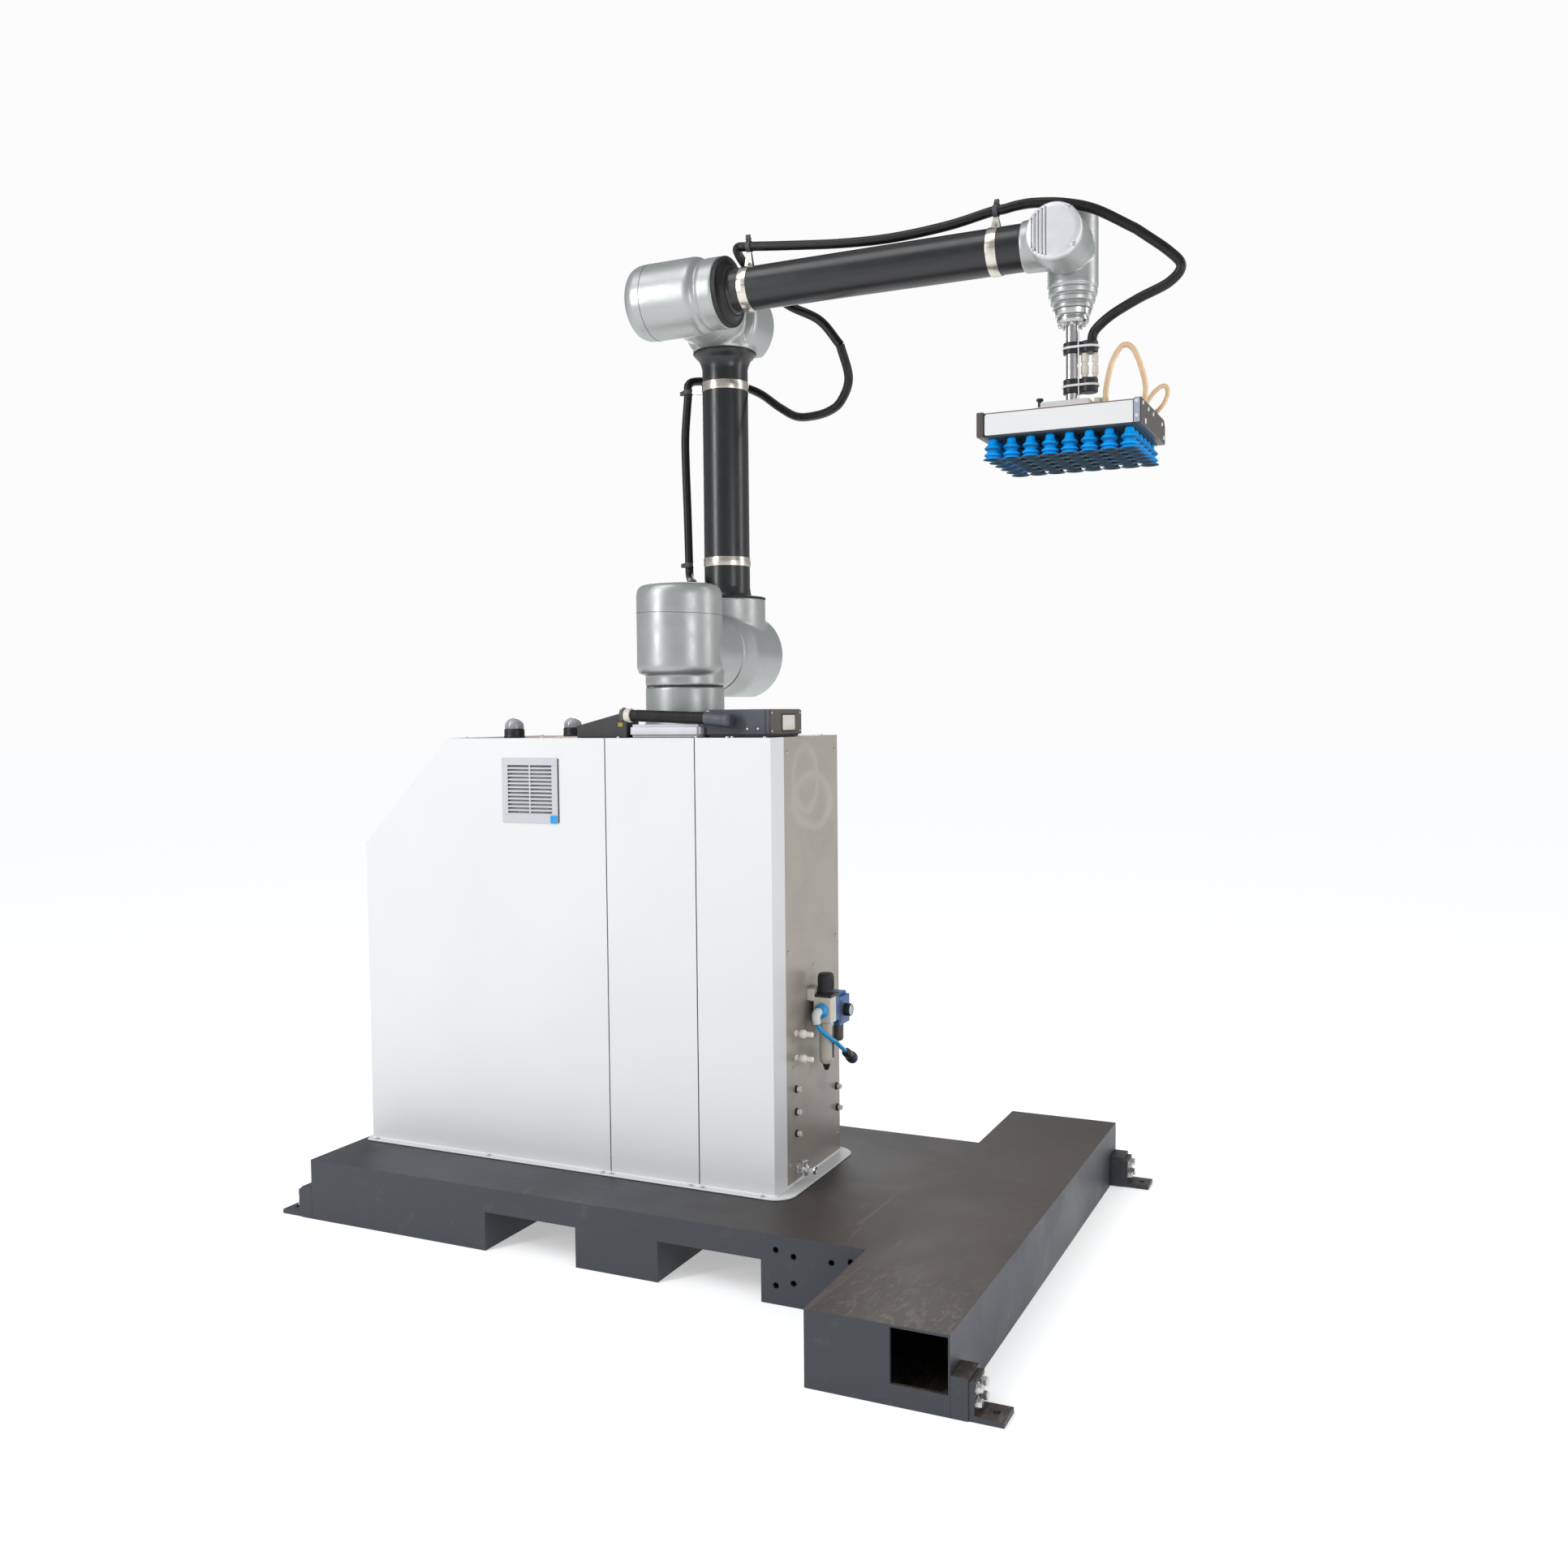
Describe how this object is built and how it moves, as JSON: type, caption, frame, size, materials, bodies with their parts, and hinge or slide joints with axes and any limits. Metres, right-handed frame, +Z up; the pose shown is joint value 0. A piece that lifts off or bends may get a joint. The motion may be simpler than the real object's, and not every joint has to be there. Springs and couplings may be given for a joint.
{
  "type": "palletising robot arm on a forkliftable cabinet",
  "caption": "Six-axis collaborative palletising arm with a suction-cup gripper and clipped dress cable, on a white control cabinet and a T-shaped steel base with fork pockets.",
  "frame": {"origin": "on the floor, under the vertical axis of the arm's first joint", "axes": "+X from the cabinet's sloped end towards the crossbar, +Y away from the side with the vent grille, +Z up"},
  "size_m": [1.7157, 1.132, 1.8945],
  "materials": {
    "base_paint": "worn satin anthracite paint",
    "cover_white": "satin powder coat",
    "trunk_white": "satin",
    "panel_steel": "brushed, slightly glossy",
    "controller_grey": "satin",
    "drive_metal": "machined and painted",
    "lamp": "translucent lens on a black foot",
    "rubber": "matt cable sheath",
    "cream_plastic": "moulded",
    "blue_plastic": "moulded",
    "arm_silver": "satin silver paint over castings",
    "tube_black": "satin black anodised tube",
    "stainless": "bright",
    "gripper_dark": "dark brown-grey",
    "cup_blue": "silicone bellows"
  },
  "bodies": {
    "root": {"base_weldment": "base_paint", "anchor_left_front": "base_paint", "anchor_left_rear": "base_paint", "anchor_right_front": "base_paint", "anchor_right_rear": "base_paint", "cabinet_floor_flange": "cover_white", "cabinet_frame": "base_paint", "robot_pedestal": "base_paint", "front_cover_left": "cover_white", "front_cover_middle": "cover_white", "front_cover_right": "cover_white", "rear_cover": "cover_white", "end_cover": "cover_white", "cabinet_top_plate": "base_paint", "connection_panel": "panel_steel", "robot_controller": "controller_grey", "vacuum_pump": "drive_metal", "vent_grille": "cover_white", "beacon_front": "lamp", "beacon_rear": "lamp", "trunk_cover": "trunk_white", "cable_entry_box": "rubber", "junction_box": "controller_grey", "conduit": "rubber", "regulator_body": "cream_plastic", "filter_bowl": "cream_plastic", "valve_unit": "blue_plastic", "inlet_hose": "blue_plastic", "robot_base": "arm_silver", "joint_1_drive": "drive_metal"},
    "fan": {"fan_rotor": "blue_plastic"},
    "knob": {"regulator_knob": "rubber"},
    "shoulder": {"shoulder_housing": "arm_silver", "joint_2_drive": "drive_metal", "cable_shoulder": "rubber"},
    "upper_arm": {"upper_arm_tee": "arm_silver", "joint_2_cover": "arm_silver", "upper_arm_tube": "tube_black", "elbow_tee": "arm_silver", "joint_3_cover": "arm_silver", "arm_clip_lower": "stainless", "arm_clip_upper": "stainless", "cable_upper_arm": "rubber"},
    "elbow": {"roll_housing": "arm_silver", "cable_elbow_loop": "rubber"},
    "forearm": {"forearm_tube": "tube_black", "wrist_fork": "arm_silver", "joint_5_cover": "arm_silver", "forearm_clip_rear": "stainless", "forearm_clip_front": "stainless", "cable_forearm": "rubber"},
    "wrist": {"wrist_housing": "arm_silver", "cable_wrist_loop": "rubber"},
    "tool": {"tool_stem": "stainless", "stem_clamps": "rubber", "gripper_mount_plate": "cover_white", "vacuum_chamber": "gripper_dark", "gripper_end_plate_left": "gripper_dark", "gripper_end_plate_right": "gripper_dark", "suction_cups": "cup_blue"}
  },
  "joints": [
    {"name": "base_turn", "type": "hinge", "parent": "root", "child": "shoulder", "pos_m": [0, 0, 1.055], "axis": [0, 0, 1], "range_deg": [-170, 170]},
    {"name": "shoulder_pitch", "type": "hinge", "parent": "shoulder", "child": "upper_arm", "pos_m": [0, 0.1, 1.124], "axis": [0, 1, 0], "range_deg": [-60, 25], "deforming": ["cable_shoulder"]},
    {"name": "elbow_pitch", "type": "hinge", "parent": "upper_arm", "child": "elbow", "pos_m": [0, 0.09, 1.803], "axis": [0, 1, 0], "range_deg": [-60, 40], "deforming": ["cable_elbow_loop"]},
    {"name": "forearm_roll", "type": "hinge", "parent": "elbow", "child": "forearm", "pos_m": [0.1, 0, 1.803], "axis": [1, 0, 0], "range_deg": [-90, 90], "deforming": ["cable_elbow_loop"]},
    {"name": "wrist_pitch", "type": "hinge", "parent": "forearm", "child": "wrist", "pos_m": [0.747, 0.026, 1.803], "axis": [0, 1, 0], "range_deg": [-45, 45], "deforming": ["cable_wrist_loop"]},
    {"name": "tool_turn", "type": "hinge", "parent": "wrist", "child": "tool", "pos_m": [0.747, 0.072, 1.704], "axis": [0, 0, 1], "range_deg": [-170, 170], "deforming": ["cable_wrist_loop"]},
    {"name": "regulator_turn", "type": "hinge", "parent": "root", "child": "knob", "pos_m": [0.287, 0.0195, 0.488], "axis": [0, 0, 1], "continuous": true},
    {"name": "fan_spin", "type": "hinge", "parent": "root", "child": "fan", "pos_m": [-0.262, -0.139, 0.856], "axis": [0, 1, 0], "continuous": true}
  ]
}
